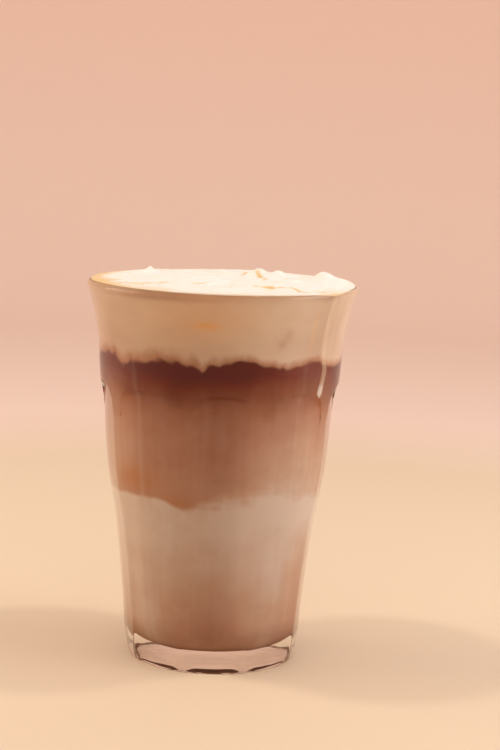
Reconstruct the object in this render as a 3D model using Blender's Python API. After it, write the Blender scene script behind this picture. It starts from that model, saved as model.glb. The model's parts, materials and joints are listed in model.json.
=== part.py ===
"""A layered latte in its tall panelled tumbler, at real size, standing on its foot at the origin.

Angles run round the upright axis from -Y (the front) towards +X. Every piece is a loft: a stack of
closed rings, one point per column, with its first and last ring shut by a fan to a middle point.
"""

import math

import bmesh
import bpy
import numpy as np

# Driving dimensions of the glass, in metres
GLASS_HEIGHT = 0.123
LIP_RADIUS = 0.0011
RIM_RADIUS = 0.0437
PANELS = 9
PANEL_TURN = math.radians(1.8)
PANEL_HALF_TOP = math.radians(16.5)
PANEL_HALF_FOOT = math.radians(19.4)
FLATNESS = 0.75
EDGE_SOFTNESS = 0.00025
ARCH_SPRING = 0.0815
ARCH_RISE = 0.0094
ARCH_POWER = 2.7
LEDGE = 0.0024
ARCH_REACH = 0.014
FLOOR = 0.0061
FLOOR_FILLET = 0.009
FOOT_TAPER = 0.008
FOOT_INSET = 0.0014
PANEL_INSET = 0.0007
FOOT_CORNER = 0.0009
FOOT_RING = 0.0212
PUNT = 0.0003
PUNT_SLOPE = 0.001

# Outlines as (height, radius), each joined by a smooth curve
PIER_OUTLINE = (
    (0, 0.0293), (0.010, 0.0298), (0.025, 0.0311), (0.045, 0.0334), (0.060, 0.0360), (0.072, 0.0372),
    (0.088, 0.0379)
)
COLLAR_OUTLINE = (
    (0.074, 0.0373), (0.080, 0.0377), (0.085, 0.0382), (0.090, 0.0388), (0.095, 0.0392), (0.104, 0.0398),
    (0.112, 0.0411), (0.1219, RIM_RADIUS)
)
CAVITY_OUTLINE = (
    (0, 0.0245), (0.010, 0.0251), (0.025, 0.0264), (0.045, 0.0288), (0.060, 0.0313), (0.072, 0.0326),
    (0.085, 0.0337), (0.092, 0.0350), (0.098, 0.0361), (0.104, 0.0370), (0.112, 0.0387), (0.1219, 0.0415)
)

# Driving dimensions of the drink, in metres
GAP = 0.0003
MILK_TOP = 0.0565
COFFEE_MILK_TOP = 0.0915
ESPRESSO_TOP = 0.1008
CREAM_TOP = 0.1248
DOME_POWER = 3
RELIEF_FADE = 0.3
FILM = 0.0003
OVERHANG_TURN = math.radians(22)
OVERHANG_SPREAD = math.radians(58)
EDGE_SWEEP = math.radians(85)
OVERHANG_SWEEP = math.radians(42)
DRIP_TURN = math.radians(53)
DRIP_SWAY = math.radians(2.4)
DRIP_WIDTH = 0.0028
DRIP_THICKNESS = 0.0008
DRIP_END = 0.0896
TEAR_WIDTH = 0.0022
TEAR_LENGTH = 0.0042

# Tongues and crests of the cream's lower edge: direction and half-width in degrees, depth in millimetres
CREAM_DIPS = ((-52, 6, 3.6), (-8, 4, 2.0), (10, 9, -2.0), (50, 8, -1.5), (72, 12, 2.6))

# Resolution of the lofts
GLASS_COLUMNS_TO_PANEL = (-20, -18.2, -16.2, -13.5, -6.8, 0, 6.8, 13.5, 16.2, 18.2)
DRINK_COLUMNS = 48
DRIP_SIDES = 8


def through(outline, height):
    """Smooth curve through (height, value) points, cubic pieces with the mean slope of their neighbours."""
    knots, values = np.array(outline, dtype=float).T
    slopes = np.gradient(values, knots)
    i = np.clip(np.searchsorted(knots, height) - 1, 0, len(knots) - 2)
    step = knots[i + 1] - knots[i]
    t = np.clip((height - knots[i]) / step, 0, 1)
    start = (1 + 2 * t) * (1 - t) ** 2 * values[i] + t * (1 - t) ** 2 * step * slopes[i]
    end = t**2 * (3 - 2 * t) * values[i + 1] + t**2 * (t - 1) * step * slopes[i + 1]
    return start + end


def smoothstep(t):
    """0 below 0, 1 above 1, with a smooth rise between."""
    t = np.clip(t, 0, 1)
    return t * t * (3 - 2 * t)


def rounding(height, radius):
    """How far a rounded corner of this radius draws in at this height above its flat."""
    t = np.clip(1 - height / radius, 0, 1)
    return radius * (1 - np.sqrt(1 - t * t))


def from_middle(angle, middle, pitch):
    """Signed angle from the nearest of the directions middle, middle + pitch, and so on."""
    return (angle - middle + pitch / 2) % pitch - pitch / 2


def arch(angle):
    """Height of the full round arch that tops each panel, above where it springs from the piers."""
    across = np.abs(from_middle(angle, PANEL_TURN, math.tau / PANELS)) / PANEL_HALF_TOP
    return ARCH_RISE * np.clip(1 - across**ARCH_POWER, 0, 1) ** (1 / ARCH_POWER)


def panel_half(height):
    """Half-angle of a panel, which widens towards the foot until the piers are sharp ridges."""
    return PANEL_HALF_FOOT + (PANEL_HALF_TOP - PANEL_HALF_FOOT) * np.clip(height / ARCH_SPRING, 0, 1)


def lesser(first, second):
    """The lesser of two radii, with a short parabola where they cross."""
    blend = np.clip(0.5 + (first - second) / (2 * EDGE_SOFTNESS), 0, 1)
    return first + (second - first) * blend - EDGE_SOFTNESS * blend * (1 - blend)


def outer_radius(angle, height):
    """Outside of the glass: nearly flat arched panels cut into round piers, under a wider round collar.

    Near the foot the panels taper in a little. A taper turned about the axis, with a rounded edge under it,
    cuts across piers and panels alike.
    """
    pier = through(PIER_OUTLINE, height)
    across = from_middle(angle, PANEL_TURN, math.tau / PANELS)
    chord = pier * np.cos(panel_half(height)) / np.cos(across)
    body = lesser(pier, pier + (chord - pier) * FLATNESS)
    taper = np.clip(1 - height / FOOT_TAPER, 0, 1) ** 1.3
    corner = pier + EDGE_SOFTNESS - (FOOT_INSET + EDGE_SOFTNESS) * taper - rounding(height, FOOT_CORNER)
    body = np.where(height < FOOT_TAPER, lesser(body - PANEL_INSET * taper, corner), body)
    above = smoothstep((height - ARCH_SPRING - arch(angle)) / LEDGE + 0.5)
    collar = through(COLLAR_OUTLINE, height)
    return body + (collar - body) * above


def cavity_radius(height, inset=0.0):
    """Inside of the glass with its rounded floor corner, or a wall that stands off it by inset."""
    corner = rounding(height - FLOOR - inset, FLOOR_FILLET - inset)
    return through(CAVITY_OUTLINE, height) - inset - corner


def ring(angles, radius, height):
    """Points of one ring, as an array of x, y, z."""
    radius = np.broadcast_to(radius, angles.shape)
    height = np.broadcast_to(height, angles.shape)
    return np.stack([radius * np.sin(angles), -radius * np.cos(angles), height], axis=1)


def middle_of(points):
    """A point on the axis of a ring, at its mean height."""
    return points.mean(axis=0)


def skin(points):
    """Closed mesh over a stack of rings that runs up the outside, its two ends shut by fans."""
    mesh = bmesh.new()
    rows = [[mesh.verts.new(point) for point in row] for row in points]
    for lower, upper in zip(rows, rows[1:]):
        for i in range(len(lower)):
            j = (i + 1) % len(lower)
            mesh.faces.new((lower[i], lower[j], upper[j], upper[i]))
    for row, points_of_row, step in ((rows[0], points[0], -1), (rows[-1], points[-1], 1)):
        hub = mesh.verts.new(middle_of(points_of_row))
        for i in range(len(row)):
            mesh.faces.new((row[i], row[(i + step) % len(row)], hub))
    return mesh


def add_object(name, points, material):
    """A smooth-shaded object from a stack of rings."""
    mesh = skin(points)
    data = bpy.data.meshes.new(name)
    mesh.to_mesh(data)
    mesh.free()
    data.shade_smooth()
    data.set_sharp_from_angle(angle=math.radians(35))
    if material:
        data.materials.append(material)
    piece = bpy.data.objects.new(name, data)
    bpy.context.scene.collection.objects.link(piece)
    return piece


def linear(*levels):
    """Linear colour from red, green and blue as seen, 0 to 255."""
    return [((level / 255 + 0.055) / 1.055) ** 2.4 for level in levels] + [1]


def principled(name, colour, roughness, transmission=0.0):
    material = bpy.data.materials.new(name)
    material.use_nodes = True
    shader = material.node_tree.nodes["Principled BSDF"]
    shader.inputs["Base Color"].default_value = colour
    shader.inputs["Roughness"].default_value = roughness
    shader.inputs["Metallic"].default_value = 0.0
    shader.inputs["Transmission Weight"].default_value = transmission
    shader.inputs["IOR"].default_value = 1.5
    material.diffuse_color = colour
    return material


def glass_columns(height):
    """Column angles of the glass at one height, closer together beside each pier, whose edges they follow."""
    half, pitch = math.degrees(PANEL_HALF_TOP), 360 / PANELS
    now = math.degrees(panel_half(height))
    stops = (-pitch / 2, -half, half, pitch / 2)
    across = np.interp(GLASS_COLUMNS_TO_PANEL, stops, (-pitch / 2, -now, now, pitch / 2))
    turns = np.arange(PANELS)[:, None] * pitch + across
    return PANEL_TURN + np.radians(turns.ravel())


def underside():
    """The flat hollow, its sloping edge and the flat ring that the glass stands on, from the middle out."""
    angles = glass_columns(0.0)
    rings = []
    for inwards in (9.0, 1.0, 0.5, 0.0):
        rings.append(ring(angles, FOOT_RING - PUNT_SLOPE * inwards, PUNT * smoothstep(inwards)))
    rings.append(ring(angles, outer_radius(angles, 0.0), 0.0))
    return rings


def outside():
    """From the foot's rounded edge up to the rim. Near the ledge the rings follow the arches."""
    foot = (FOOT_CORNER * 0.3, FOOT_CORNER, FOOT_TAPER * 0.5, FOOT_TAPER)
    body = np.array([0.015, 0.024, 0.034, 0.045, 0.060, 0.074])
    ledge = ARCH_SPRING + LEDGE * np.array([-0.5, -0.2, 0.2, 0.5])
    collar = np.array([0.0855, 0.089, 0.093, 0.099, 0.106, 0.112, 0.118])
    rings = []
    for base in (*foot, *body, *ledge, *collar):
        angles = glass_columns(base)
        share = np.clip(1 - (abs(base - ARCH_SPRING) - LEDGE / 2) / ARCH_REACH, 0, 1)
        height = base + arch(angles) * share
        rings.append(ring(angles, outer_radius(angles, height), height))
    return rings


def lip(angles):
    """The rounded rim, over the top from outside to inside."""
    rings = []
    for turn in np.radians([0, 45, 90, 135]):
        radius = RIM_RADIUS - LIP_RADIUS + LIP_RADIUS * math.cos(turn)
        rings.append(ring(angles, radius, GLASS_HEIGHT - LIP_RADIUS + LIP_RADIUS * math.sin(turn)))
    return rings


def inside(angles):
    """From the rim down the round cavity and its rounded corner to the floor."""
    wall = [GLASS_HEIGHT - LIP_RADIUS, 0.115, 0.107, 0.099, 0.090, 0.080, 0.067, 0.050, 0.032]
    corner = [FLOOR + FLOOR_FILLET * (1 - math.sin(math.radians(turn))) for turn in (0, 25, 45, 65)]
    rings = [ring(angles, cavity_radius(height), height) for height in (*wall, *corner)]
    rings.append(ring(angles, cavity_radius(FLOOR), FLOOR))
    return rings


def make_glass():
    angles = glass_columns(GLASS_HEIGHT)
    points = underside() + outside() + lip(angles) + inside(angles)
    return add_object("glass", points, principled("clear glass", linear(250, 250, 248), 0.0, 1.0))


def dip(angles, middle, half_width, depth):
    """A tongue that hangs down from a boundary at one place round the glass."""
    off = from_middle(angles, math.radians(middle), math.tau) / math.radians(half_width)
    return -depth * np.exp(-(off**2))


def waves(angles, seed, size):
    """Uneven ups and downs round the glass: whole waves of shrinking size with seeded starts."""
    starts = np.random.default_rng(seed).uniform(0, math.tau, 8)
    counts = np.arange(2, 2 + len(starts))
    return size * sum(np.cos(n * angles + start) / n for n, start in zip(counts, starts))


def milk_boundary(angles):
    return MILK_TOP + waves(angles, 3, 0.0010) + dip(angles, -19, 8, 0.0025)


def coffee_boundary(angles):
    return COFFEE_MILK_TOP + waves(angles, 5, 0.0014) + dip(angles, -20, 8, 0.0022)


def espresso_boundary(angles):
    dips = sum(dip(angles, middle, half_width, depth / 1000) for middle, half_width, depth in CREAM_DIPS)
    return ESPRESSO_TOP + waves(angles, 8, 0.0010) + dips


def sheet(angles, boundary, lift, shares):
    """Rings of a boundary between two layers, level in the middle and uneven at the wall."""
    level = boundary(angles).mean()
    rings = []
    for share in shares:
        height = level + (boundary(angles) - level) * share**2 + lift
        rings.append(ring(angles, cavity_radius(height, GAP) * share, height))
    return rings


def side(angles, low, high, rows):
    """Rings up the wall of the cavity between two boundaries, without the boundaries' own rings."""
    rings = []
    for row in range(1, rows):
        height = low + (high - low) * row / rows
        rings.append(ring(angles, cavity_radius(height, GAP), height))
    return rings


def drink_columns():
    return np.arange(DRINK_COLUMNS) * math.tau / DRINK_COLUMNS


OUTWARDS = (0.35, 0.7, 0.9, 1.0)
INWARDS = OUTWARDS[::-1]


def make_milk():
    """The pale layer at the bottom, on the rounded floor."""
    angles = drink_columns()
    bottom = FLOOR + GAP
    fillet = FLOOR_FILLET - GAP
    floor_edge = ring(angles, cavity_radius(bottom, GAP), bottom)
    corner = [bottom + fillet * (1 - math.cos(math.radians(turn))) for turn in (25, 45, 65)]
    points = [floor_edge] + [ring(angles, cavity_radius(height, GAP), height) for height in corner]
    low = np.full(DRINK_COLUMNS, bottom + fillet)
    points.append(ring(angles, cavity_radius(low, GAP), low))
    points += side(angles, low, milk_boundary(angles), 5)
    points += sheet(angles, milk_boundary, 0.0, INWARDS)
    return add_object("milk", points, principled("milk", linear(206, 166, 138), 0.35))


def make_layer(name, below, above, rows, material):
    """A layer between two uneven boundaries, a gap above the lower one."""
    angles = drink_columns()
    points = sheet(angles, below, GAP, OUTWARDS)
    points += side(angles, below(angles) + GAP, above(angles), rows)
    points += sheet(angles, above, 0.0, INWARDS)
    return add_object(name, points, material)


def bump(x, y, place, height, half_width):
    """A round swell of the cream, or a hollow if its height is negative."""
    return height * np.exp(-((x - place[0]) ** 2 + (y - place[1]) ** 2) / half_width**2)


def cream_relief(x, y):
    """Soft spooned swells and peaks of the cream, above its plain dome."""
    relief = bump(x, y, (-0.0250, 0.012), 0.0013, 0.0038)
    relief += bump(x, y, (-0.010, -0.014), 0.0009, 0.0090)
    relief += bump(x, y, (0.0118, 0.012), 0.0020, 0.0040)
    relief += bump(x, y, (0.0182, 0.008), 0.0016, 0.0038)
    relief += bump(x, y, (0.0260, -0.006), -0.0009, 0.0055)
    relief += bump(x, y, (0.0322, 0.001), 0.0026, 0.0038)
    relief += bump(x, y, (0.0385, -0.002), 0.0027, 0.0065)
    relief += bump(x, y, (0.000, -0.002), -0.0006, 0.0060)
    return relief


def overhang(angles):
    """0 to 1: how far the cream leans out over the rim, in front and on the right."""
    off = from_middle(angles, OVERHANG_TURN, math.tau) / OVERHANG_SPREAD
    return np.exp(-(off**4))


def lip_path(turn, stand_off):
    """Radius and height of a path round the rim's rounding, this far off the glass."""
    reach = LIP_RADIUS + stand_off
    return RIM_RADIUS - LIP_RADIUS + reach * np.cos(turn), GLASS_HEIGHT - LIP_RADIUS + reach * np.sin(turn)


def cream_edge(angles):
    """Rings from the inside of the rim up onto its top, and over it where the cream leans out."""
    sweep = EDGE_SWEEP + OVERHANG_SWEEP * overhang(angles)
    rings = []
    for share in (0, 0.25, 0.5, 0.75, 1.0):
        radius, height = lip_path(math.pi - sweep * share, GAP)
        rings.append(ring(angles, radius, height))
    return rings


def cream_dome(angles):
    """The heaped top: a low flat-topped dome, plus the relief, and no thinner than a film over the lip."""
    edge_radius, edge_height = lip_path(math.pi - EDGE_SWEEP - OVERHANG_SWEEP * overhang(angles), GAP)
    reach = LIP_RADIUS + GAP + FILM * overhang(angles)
    rings = []
    for share in (0.985, 0.95, 0.89, 0.81, 0.72, 0.62, 0.51, 0.39, 0.26, 0.13):
        dome = 1 - share**DOME_POWER
        points = ring(angles, edge_radius * share, edge_height + (CREAM_TOP - edge_height) * dome)
        points[:, 2] += cream_relief(points[:, 0], points[:, 1]) * dome**RELIEF_FADE
        off_lip = edge_radius * share - (RIM_RADIUS - LIP_RADIUS)
        film = GLASS_HEIGHT - LIP_RADIUS + np.sqrt(np.clip(reach**2 - off_lip**2, 0, None))
        points[:, 2] = np.maximum(points[:, 2], film)
        rings.append(points)
    return rings


def drip_path():
    """Radius and height of the drip's middle line: out of the cream, over the rim and down the wall."""
    stand_off = GAP + DRIP_THICKNESS / 2
    over = [lip_path(turn, stand_off) for turn in np.radians([95, 70, 45, 20])]
    start = (over[0][0] - 0.0025, over[0][1] - 0.0002)
    heights = np.linspace(GLASS_HEIGHT - 2.3 * LIP_RADIUS, DRIP_END, 24)
    ledge = ARCH_SPRING + float(arch(DRIP_TURN)) + LEDGE / 2
    down = [(outer_radius(DRIP_TURN, max(height, ledge)) + stand_off, height) for height in heights]
    return np.array([start, *over, *down], dtype=float)


def drip_half_width(heights):
    """Half the drip's width, even down to the tear that hangs at its end."""
    up = (heights - DRIP_END) / TEAR_LENGTH
    tear = np.sqrt(np.clip(up, 0.02, 1) * np.clip(1.6 - up, 0, 1)) * TEAR_WIDTH / 2
    return np.where(up < 1, np.maximum(tear, DRIP_WIDTH / 2 * smoothstep(up * 3)), DRIP_WIDTH / 2)


def make_drip():
    """The drip, as a flattened tube with a tear at its lower end, above which it wanders to the side."""
    path = drip_path()
    along = np.gradient(path, axis=0)
    along /= np.linalg.norm(along, axis=1, keepdims=True)
    up = np.array([0, 0, 1])
    turns = np.arange(DRIP_SIDES) * math.tau / DRIP_SIDES
    half_widths = drip_half_width(path[:, 1])
    points = []
    for (radius, height), (run_out, run_up), half_width in zip(path, along, half_widths):
        heading = DRIP_TURN + DRIP_SWAY * math.exp(-(((height - DRIP_END) / TEAR_LENGTH - 2) / 1.1) ** 2)
        out = np.array([math.sin(heading), -math.cos(heading), 0])
        across = np.array([math.cos(heading), math.sin(heading), 0])
        middle = out * radius + up * height
        off_wall = (out * -run_up + up * run_out) * min(half_width, DRIP_THICKNESS / 2)
        points.append([middle + across * half_width * math.cos(t) + off_wall * math.sin(t) for t in turns])
    return add_object("drip", np.array(points[::-1]), None)


def make_cream():
    """The cream: down to the coffee inside, heaped above the rim, with the drip fused on."""
    angles = drink_columns()
    points = sheet(angles, espresso_boundary, GAP, OUTWARDS)
    edge_foot = np.full(DRINK_COLUMNS, GLASS_HEIGHT - LIP_RADIUS)
    points += side(angles, espresso_boundary(angles) + GAP, edge_foot, 5)
    points += cream_edge(angles) + cream_dome(angles)
    cream = add_object("cream", points, principled("cream", linear(252, 240, 220), 0.45))
    drip = make_drip()
    drip.hide_render = True
    drip.display_type = "WIRE"
    union = cream.modifiers.new("fused drip", "BOOLEAN")
    union.operation = "UNION"
    union.solver = "EXACT"
    union.object = drip
    return cream


def main():
    for old in list(bpy.data.objects):
        bpy.data.objects.remove(old)
    make_glass()
    make_milk()
    coffee_milk = principled("coffee with milk", linear(158, 106, 78), 0.35)
    make_layer("coffee_milk", milk_boundary, coffee_boundary, 5, coffee_milk)
    espresso = principled("espresso", linear(112, 56, 36), 0.35)
    make_layer("espresso", coffee_boundary, espresso_boundary, 2, espresso)
    make_cream()


main()
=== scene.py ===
"""Dresses the layered latte: fine clear glass, three blended layers of drink, and spooned cream.

Angles run round the upright axis from -Y, which faces the camera, towards +X. Each piece is a grid of
points, rings by columns, that closes on itself round the axis and is shut at both ends by a fan.
"""

import json
import math

import bpy
import numpy as np
from bpy.props import FloatProperty, FloatVectorProperty, IntProperty, PointerProperty
from mathutils import Matrix, Vector

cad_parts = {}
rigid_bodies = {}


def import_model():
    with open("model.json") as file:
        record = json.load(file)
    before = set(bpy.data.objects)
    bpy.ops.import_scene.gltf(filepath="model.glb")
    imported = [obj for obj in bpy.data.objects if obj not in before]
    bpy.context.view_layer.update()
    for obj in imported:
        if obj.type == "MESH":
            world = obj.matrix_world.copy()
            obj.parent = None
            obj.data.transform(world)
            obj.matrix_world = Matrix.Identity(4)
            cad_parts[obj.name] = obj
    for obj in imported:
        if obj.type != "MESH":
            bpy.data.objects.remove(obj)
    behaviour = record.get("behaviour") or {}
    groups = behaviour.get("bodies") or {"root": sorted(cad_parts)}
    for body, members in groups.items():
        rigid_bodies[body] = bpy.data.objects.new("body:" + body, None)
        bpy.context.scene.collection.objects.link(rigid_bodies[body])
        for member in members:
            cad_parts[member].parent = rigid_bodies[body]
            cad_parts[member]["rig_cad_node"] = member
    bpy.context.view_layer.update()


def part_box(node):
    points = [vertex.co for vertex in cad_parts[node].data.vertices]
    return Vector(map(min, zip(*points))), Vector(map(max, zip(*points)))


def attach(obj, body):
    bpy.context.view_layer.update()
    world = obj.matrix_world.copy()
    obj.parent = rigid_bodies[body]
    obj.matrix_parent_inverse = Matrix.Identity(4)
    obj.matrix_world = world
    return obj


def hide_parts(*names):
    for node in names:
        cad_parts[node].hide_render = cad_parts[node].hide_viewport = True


bl_info = {
    "name": "Layered Latte",
    "version": (1, 0, 0),
    "blender": (4, 5, 0),
    "location": "3D View > Sidebar > Latte",
    "description": "Builds the fine pieces of a layered latte in its panelled tumbler",
    "category": "Mesh",
}

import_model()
GLASS_TOP = round(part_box("glass")[1].z, 5)

# Outlines of the glass as (height, radius) in metres, each joined by a smooth curve
PIER_OUTLINE = (
    (0, 0.0293), (0.010, 0.0298), (0.025, 0.0311), (0.045, 0.0334), (0.060, 0.0360), (0.072, 0.0372),
    (0.088, 0.0379)
)
COLLAR_OUTLINE = (
    (0.074, 0.0373), (0.080, 0.0377), (0.085, 0.0382), (0.090, 0.0388), (0.095, 0.0392), (0.104, 0.0398),
    (0.112, 0.0411), (0.1219, 0.0437)
)
CAVITY_OUTLINE = (
    (0, 0.0245), (0.010, 0.0251), (0.025, 0.0264), (0.045, 0.0288), (0.060, 0.0313), (0.072, 0.0326),
    (0.085, 0.0337), (0.092, 0.0350), (0.098, 0.0361), (0.104, 0.0370), (0.112, 0.0387), (0.1219, 0.0415)
)

SHARP_CORNER = math.radians(48)
OVERLAP = 0.00005

# Columns round each kind of piece
DRINK_COLUMNS = 288
CREAM_COLUMNS = 384
DRIP_COLUMNS = 20

# Rings along each run of the glass
BODY_ROWS = 34
LOWER_ROWS = 10
LEDGE_ROWS = 16
COLLAR_ROWS = 34
LIP_ROWS = 21
CAVITY_ROWS = 48

# Rings up the wall of each layer, and over the cream's edge and heap and down its drip
MILK_ROWS = 70
COFFEE_MILK_ROWS = 48
ESPRESSO_ROWS = 24
CREAM_ROWS = 36
CREAM_EDGE_ROWS = 16
HEAP_ROWS = 112
DRIP_ROWS = 90

# Columns beside each upright edge of a panel, in degrees from the edge
EDGE_COLUMNS = np.array([-1.7, -1.2, -0.8, -0.4, 0, 0.4, 0.8, 1.3, 2.0])

# Shares of the radius at which a boundary between layers has its rings
OUTWARDS = (0.1, 0.3, 0.5, 0.7, 0.85, 0.95, 1.0)
INWARDS = OUTWARDS[::-1]


def length(name, description, default):
    return FloatProperty(name=name, description=description, default=default, unit="LENGTH", precision=5)


def turn(name, description, degrees):
    return FloatProperty(name=name, description=description, default=math.radians(degrees), subtype="ANGLE")


def share(name, description, default):
    return FloatProperty(name=name, description=description, default=default, min=0, subtype="FACTOR")


def watts(name, description, default):
    return FloatProperty(name=name, description=description, default=default, min=0, unit="POWER")


def linear(*levels):
    """Linear colour from red, green and blue as seen, 0 to 255."""
    return tuple(((level / 255 + 0.055) / 1.055) ** 2.4 for level in levels)


def tone(name, description, *levels):
    return FloatVectorProperty(
        name=name, description=description, default=linear(*levels), subtype="COLOR", min=0, max=1
    )


class LatteGlass(bpy.types.PropertyGroup):
    height: length("Height", "Height of the glass to the top of its rim", GLASS_TOP)
    rim_radius: length("Rim radius", "Outside radius at the rim", 0.0437)
    lip_radius: length("Lip radius", "Radius of the rim's rounding", 0.0011)
    panels: IntProperty(name="Panels", description="Number of flat panels round the glass", default=9, min=3)
    panel_turn: turn("Panel turn", "Direction of one panel's middle", 1.8)
    panel_half_top: turn("Panel half-angle at the arches", "From a panel's middle to its edge", 16.5)
    panel_half_foot: turn("Panel half-angle at the foot", "From a panel's middle to its edge", 19.4)
    flatness: share("Flatness", "1 for flat panels, 0 for a plain round body", 0.75)
    edge_softness: length("Edge softness", "Rounding of the panels' upright edges", 0.00022)
    arch_spring: length("Arch spring", "Height at which the arches leave the piers", 0.0815)
    arch_rise: length("Arch rise", "Height of an arch above its spring", 0.0094)
    arch_power: FloatProperty(name="Arch power", description="Fullness of the arches' shoulders", default=2.7)
    ledge: length("Ledge", "Height over which a panel steps out to the collar", 0.0024)
    arch_reach: length("Arch reach", "How far from the ledge the rings still follow the arches", 0.014)
    floor: length("Floor", "Height of the cavity's floor", 0.0061)
    floor_fillet: length("Floor fillet", "Rounding of the cavity's corner", 0.009)
    foot_taper: length("Foot taper", "Height below which the foot tapers", 0.008)
    foot_inset: length("Foot inset", "How far the taper draws in the piers", 0.0014)
    panel_inset: length("Panel inset", "How far the taper draws in the panels", 0.0007)
    foot_corner: length("Foot corner", "Radius of the rounding at the foot's edge", 0.0009)
    foot_ring: length("Foot ring", "Inside radius of the ring it stands on", 0.0212)
    punt: length("Punt", "Depth of the flat hollow under the foot", 0.0003)
    punt_slope: length("Punt slope", "Width of the hollow's sloping edge", 0.001)
    tint: tone("Tint", "Colour of the glass", 252, 250, 247)
    # Darker colour of the foot: partly the thick glass's own colour, partly painted shade of the floor under
    # the foot
    foot_tint_and_shade: tone("Foot tint", "Colour of the thick glass of the foot", 220, 218, 208)


class LatteDrink(bpy.types.PropertyGroup):
    milk_top: length("Milk top", "Mean height of the pale layer's top", 0.0565)
    coffee_milk_top: length("Coffee with milk top", "Mean height of the middle layer's top", 0.0915)
    espresso_top: length("Espresso top", "Mean height of the dark layer's top", 0.1008)
    into_wall: length("Reach into the wall", "How far the drink reaches into the glass", 0.0001)
    uneven: share("Uneven", "Strength of the swirls in the layers", 1)
    milk: tone("Milk", "Pale milk", 217, 196, 178)
    # Darker milk, used where the milk gets darker towards the bottom
    milk_low: tone("Low milk", "Milk with a little coffee, as at the floor", 198, 158, 132)
    latte: tone("Latte", "Coffee with milk", 186, 138, 112)
    latte_dark: tone("Dark latte", "Coffee with less milk", 168, 110, 80)
    coffee: tone("Coffee", "Coffee with little milk", 138, 74, 48)
    dark_coffee: tone("Dark coffee", "Coffee just under the espresso", 118, 42, 20)
    espresso: tone("Espresso", "Darkest espresso", 98, 20, 6)
    amber: tone("Amber", "Warm swirl low in the middle layer", 184, 118, 64)
    halo: tone("Halo", "Cream stained by the coffee under it", 188, 131, 94)
    wall_cream: tone("Cream at the wall", "Cream tinged by coffee, behind the glass", 230, 204, 176)
    warm_cream: tone("Warm cream", "Brighter, warmer cream at the wall, left of the front", 255, 217, 176)
    # The tinge's band under the rim is partly coffee stain and partly painted shade under the lip
    tinge: tone("Tinge", "Brown of the band under the rim, the smudges and the flanks", 166, 100, 58)
    syrup: tone("Syrup", "Yellow spot in the cream", 255, 188, 84)


class LatteCream(bpy.types.PropertyGroup):
    top: length("Top", "Height of the cream's plain dome", 0.1248)
    dome_power: FloatProperty(name="Dome power", description="How flat-topped the dome is", default=3)
    relief_fade: share("Relief fade", "How the relief dies away towards the edge", 0.3)
    edge_sweep: turn("Edge sweep", "How far the edge climbs over the lip", 85)
    overhang_sweep: turn("Overhang sweep", "Further climb where it leans over the rim", 42)
    on_rim: length("On the rim", "Thickness of the cream on top of the lip", 0.0003)
    overhang_turn: turn("Overhang turn", "Direction in which the cream leans over the rim", 22)
    overhang_spread: turn("Overhang spread", "Half-width of that lean", 58)
    film: length("Film", "Least thickness the lean adds over the lip", 0.0003)
    root_sweep: turn("Root sweep", "Further climb at the root of the drip", 42)
    root_spread: turn("Root spread", "Half-width of the root", 9)
    drip_turn: turn("Drip turn", "Direction of the drip", 53)
    drip_sway: turn("Drip sway", "How far it wanders to the side above its tear", 2.4)
    drip_width: length("Drip width", "Width of the drip's film", 0.0028)
    drip_thickness: length("Drip thickness", "How far it stands off the glass", 0.0006)
    drip_end: length("Drip end", "Height of its lowest point", 0.0897)
    tear_width: length("Tear width", "Width of the tear at its end", 0.0022)
    tear_length: length("Tear length", "Length of the tear", 0.0042)
    cream: tone("Cream", "Spooned cream", 246, 241, 231)
    stain: tone("Stain", "Cream tinged with coffee", 237, 198, 140)


class LatteStage(bpy.types.PropertyGroup):
    floor: tone("Floor", "Floor near the glass", 228, 203, 174)
    wall: tone("Wall", "Floor and wall further off", 241, 212, 195)
    sky: tone("Sky", "Soft light from above", 255, 250, 248)
    sky_level: FloatProperty(name="Sky level", description="Strength of the soft light", default=0.62)
    top_level: watts("Top level", "Watts of each light overhead", 3.0)
    left_level: watts("Left level", "Watts of the soft light on the left", 1.2)
    right_level: watts("Right level", "Watts of the soft light on the right", 1.6)
    front_level: watts("Front level", "Watts of the small light in front", 0.15)
    radius: length("Radius", "Radius of the flat floor", 0.9)
    drop: length("Drop", "Film of air between the floor and the foot", 0.0001)
    wall_height: length("Wall height", "Height of the round wall", 0.7)
    camera_distance: length("Camera distance", "From the glass's axis to the camera", 0.564)
    camera_height: length("Camera height", "Above the floor", 0.1757)
    camera_pan: turn("Camera pan", "To the right of the glass", 0.997)
    camera_tilt: turn("Camera tilt", "Downwards", 8.354)
    camera_roll: turn("Camera roll", "Turn about the line of sight", 2.01)
    lens: FloatProperty(name="Lens", description="Focal length in millimetres", default=83.86)


def through(outline, height):
    """Smooth curve through (height, value) points, cubic pieces with the mean slope of their neighbours."""
    knots, values = np.array(outline, dtype=float).T
    slopes = np.gradient(values, knots)
    i = np.clip(np.searchsorted(knots, height) - 1, 0, len(knots) - 2)
    step = knots[i + 1] - knots[i]
    t = np.clip((height - knots[i]) / step, 0, 1)
    start = (1 + 2 * t) * (1 - t) ** 2 * values[i] + t * (1 - t) ** 2 * step * slopes[i]
    end = t**2 * (3 - 2 * t) * values[i + 1] + t**2 * (t - 1) * step * slopes[i + 1]
    return start + end


def smoothstep(t):
    """0 below 0, 1 above 1, with a smooth rise between."""
    t = np.clip(t, 0, 1)
    return t * t * (3 - 2 * t)


def rounding(height, radius):
    """How far a rounded corner of this radius draws in at this height above its flat."""
    t = np.clip(1 - height / radius, 0, 1)
    return radius * (1 - np.sqrt(1 - t * t))


def from_middle(angle, middle, pitch):
    """Signed angle from the nearest of the directions middle, middle + pitch, and so on."""
    return (angle - middle + pitch / 2) % pitch - pitch / 2


def arch(glass, angle):
    """Height of the full round arch that tops each panel, above where it springs from the piers."""
    across = np.abs(from_middle(angle, glass.panel_turn, math.tau / glass.panels)) / glass.panel_half_top
    return glass.arch_rise * np.clip(1 - across**glass.arch_power, 0, 1) ** (1 / glass.arch_power)


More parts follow.
